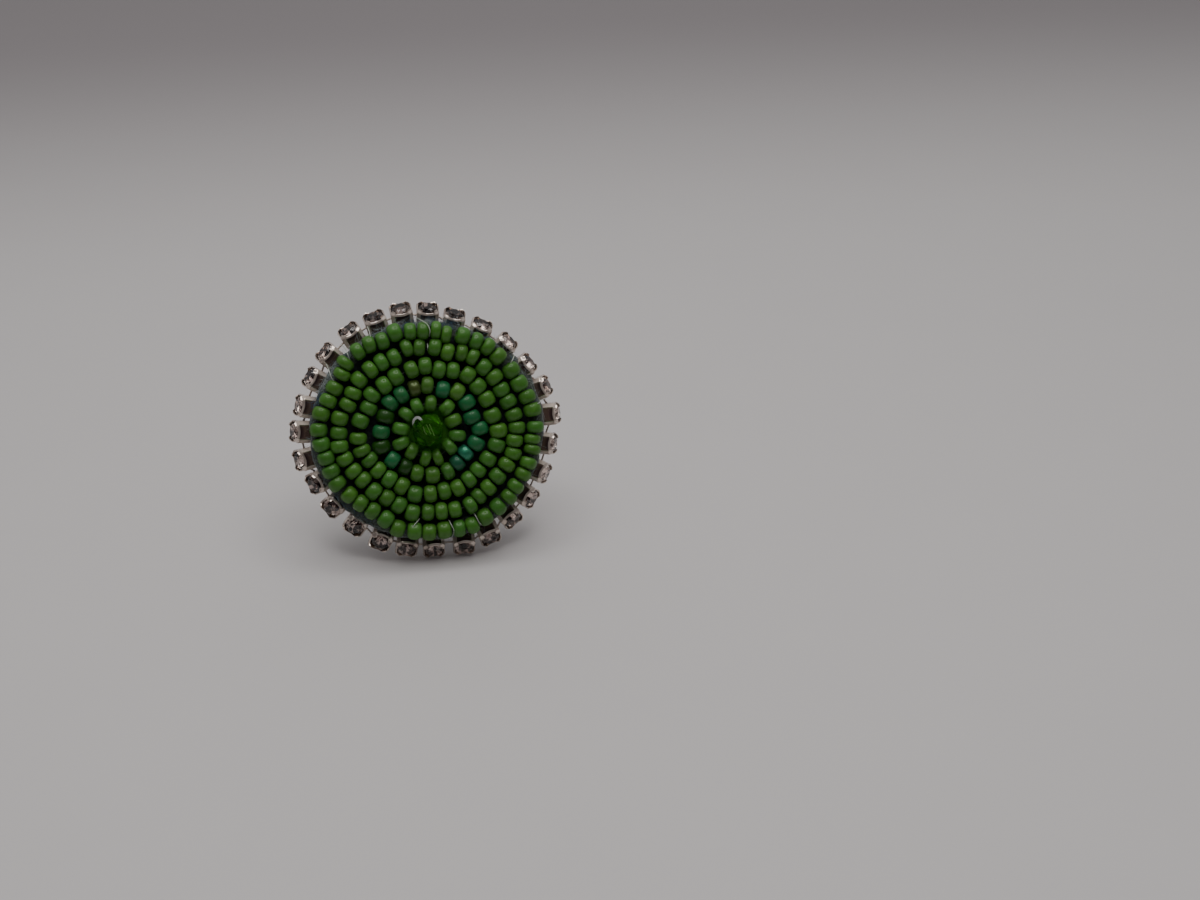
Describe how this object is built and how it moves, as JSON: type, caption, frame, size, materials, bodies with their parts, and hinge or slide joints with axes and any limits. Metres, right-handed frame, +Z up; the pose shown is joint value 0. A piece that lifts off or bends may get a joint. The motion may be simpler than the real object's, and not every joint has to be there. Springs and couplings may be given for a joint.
{
  "type": "beaded cufflink",
  "caption": "Round beaded cufflink face in rings of green seed beads round a faceted crystal, with a rim of rhinestone cups, standing on its metal toggle back.",
  "frame": {"origin": "on the surface that the cufflink stands on, under the middle of its box", "axes": "+X to the right along the disc's width, +Y back from the beaded face towards the toggle, +Z up"},
  "size_m": [0.0317, 0.0266, 0.0278],
  "materials": {
    "bead_green": "glossy opaque glass seed beads, mid green, with a second ring of teal, light green, dark green and gold ones",
    "crystal_green": "faceted transparent green crystal",
    "felt": "dark blue-grey felt",
    "suede": "dark suede",
    "chain_silver": "bright silver-coloured plate",
    "rhinestone": "clear cut glass, foiled behind",
    "back_metal": "satin"
  },
  "bodies": {
    "root": {"centre_crystal": "crystal_green", "bead_ring_1": "bead_green", "bead_ring_2": "bead_green", "bead_ring_3": "bead_green", "bead_ring_4": "bead_green", "bead_ring_5": "bead_green", "foundation_felt": "felt", "backing": "suede", "cup_chain": "chain_silver", "rhinestone_01": "rhinestone", "rhinestone_02": "rhinestone", "rhinestone_03": "rhinestone", "rhinestone_04": "rhinestone", "rhinestone_05": "rhinestone", "rhinestone_06": "rhinestone", "rhinestone_07": "rhinestone", "rhinestone_08": "rhinestone", "rhinestone_09": "rhinestone", "rhinestone_10": "rhinestone", "rhinestone_11": "rhinestone", "rhinestone_12": "rhinestone", "rhinestone_13": "rhinestone", "rhinestone_14": "rhinestone", "rhinestone_15": "rhinestone", "rhinestone_16": "rhinestone", "rhinestone_17": "rhinestone", "rhinestone_18": "rhinestone", "rhinestone_19": "rhinestone", "rhinestone_20": "rhinestone", "rhinestone_21": "rhinestone", "rhinestone_22": "rhinestone", "rhinestone_23": "rhinestone", "rhinestone_24": "rhinestone", "rhinestone_25": "rhinestone", "rhinestone_26": "rhinestone", "rhinestone_27": "rhinestone", "cufflink_back": "back_metal"}
  },
  "joints": []
}
